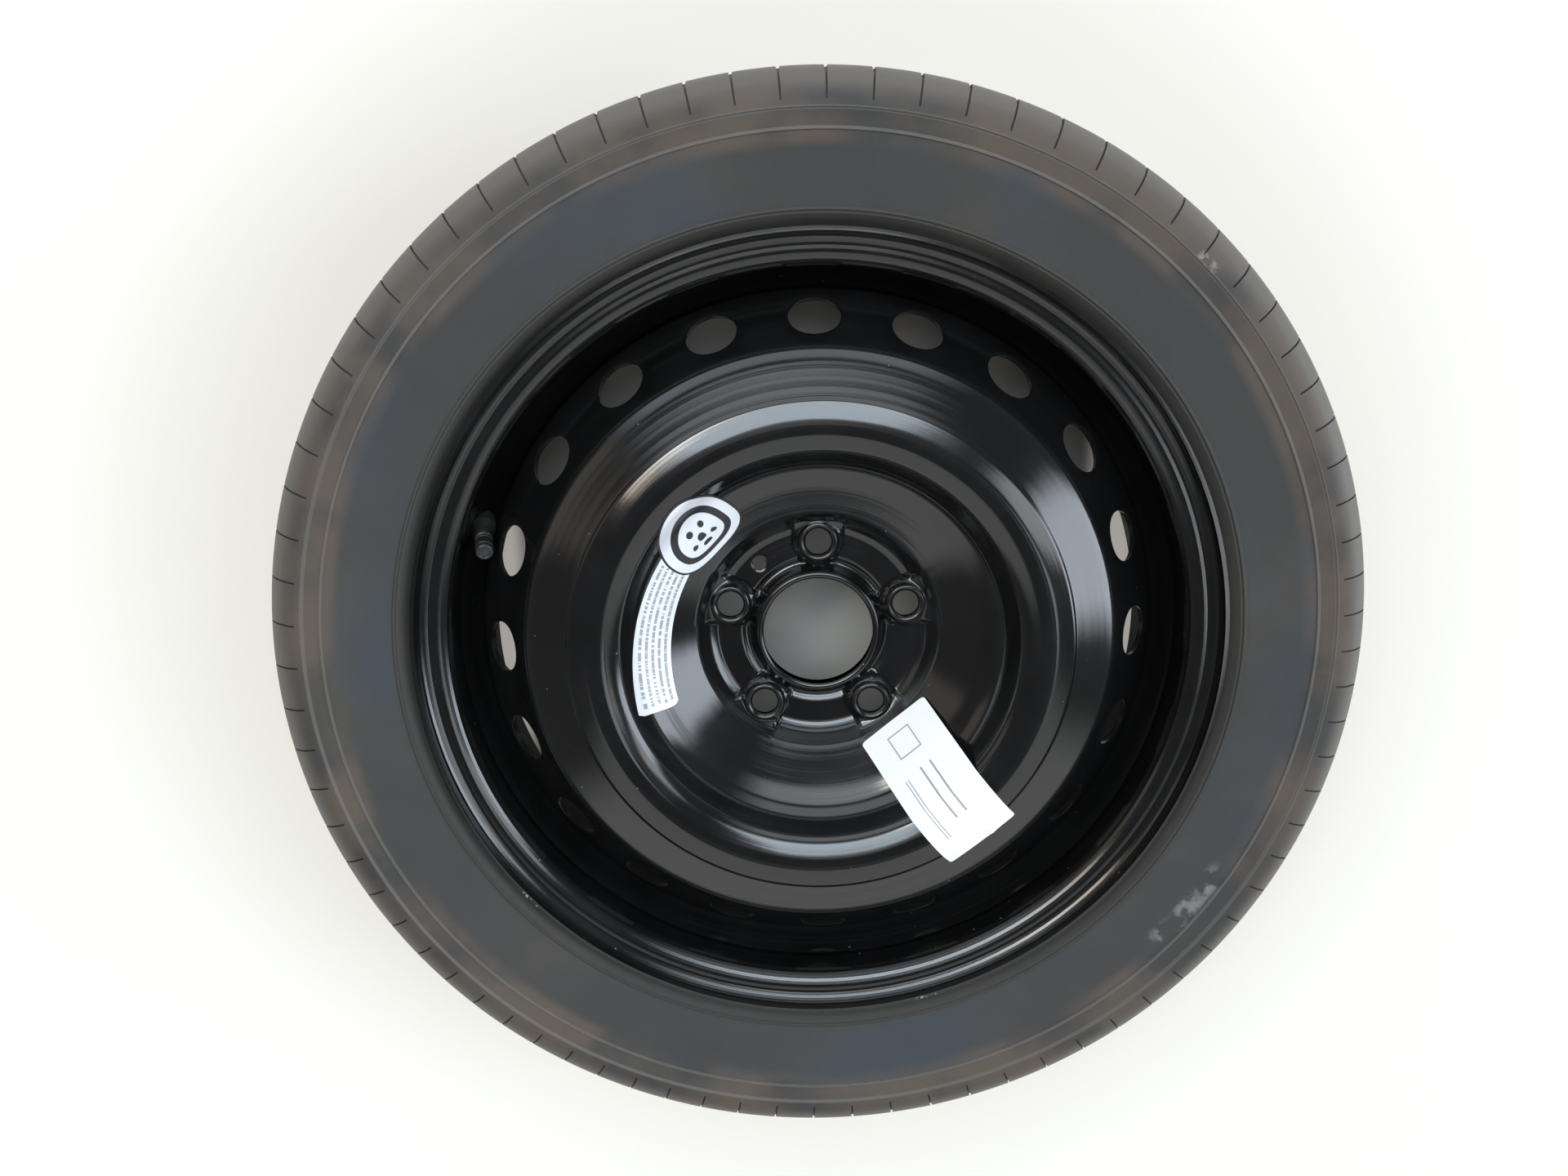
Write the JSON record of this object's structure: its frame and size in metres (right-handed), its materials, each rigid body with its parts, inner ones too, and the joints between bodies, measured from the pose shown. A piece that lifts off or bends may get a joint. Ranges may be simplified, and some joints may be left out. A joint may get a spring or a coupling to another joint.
{
  "type": "space saver spare wheel",
  "caption": "Temporary spare wheel: a narrow tyre on a black steel rim with a deep pressed disc, a ring of vent holes, bolt bosses, a snap-in valve and stick-on labels.",
  "frame": {"origin": "on the axle line in the middle plane of tyre and rim", "axes": "+Z along the axle towards the street side; the wheel lies flat; +Y towards the first bolt hole"},
  "size_m": [0.6348, 0.6348, 0.145],
  "materials": {
    "tyre": "satin",
    "black_steel": "satin",
    "weld_steel": "satin",
    "valve_rubber": "matte",
    "seal_rubber": "matte",
    "brass": "satin",
    "spring_steel": "satin",
    "cap_plastic": "matte",
    "film": "satin",
    "paper": "matte"
  },
  "bodies": {
    "wheel": {"tyre": "tyre", "rim": "black_steel", "disc": "black_steel", "disc_welds": "weld_steel", "valve_rubber": "valve_rubber", "valve_tube": "brass", "core_barrel": "brass", "core_seal": "seal_rubber", "core_spring": "spring_steel", "speed_label": "film", "paper_label": "paper"},
    "pin": {"core_pin": "brass", "core_cup": "seal_rubber"},
    "washer": {"cap_seal": "seal_rubber"},
    "cap": {"valve_cap": "cap_plastic"}
  },
  "joints": [
    {"name": "pin_press", "type": "slide", "parent": "wheel", "child": "pin", "axis": [-0.2153, 0.336, -0.9169], "range_m": [0, 0.0012], "stiffness_N_per_m": 400, "springref_m": -0.003, "deforming": ["core_spring"]},
    {"name": "cap_rise", "type": "slide", "parent": "wheel", "child": "washer", "axis": [0.2153, -0.336, 0.9169], "range_m": [0, 0.00635]},
    {"name": "cap_turn", "type": "hinge", "parent": "washer", "child": "cap", "pos_m": [-0.2001, 0.06812, 0.017], "axis": [0.2153, -0.336, 0.9169], "range_deg": [0, 2880]}
  ],
  "couplings": [
    {"joint": "cap_turn", "follows": "cap_rise", "rad_per_m": 7913.3}
  ]
}
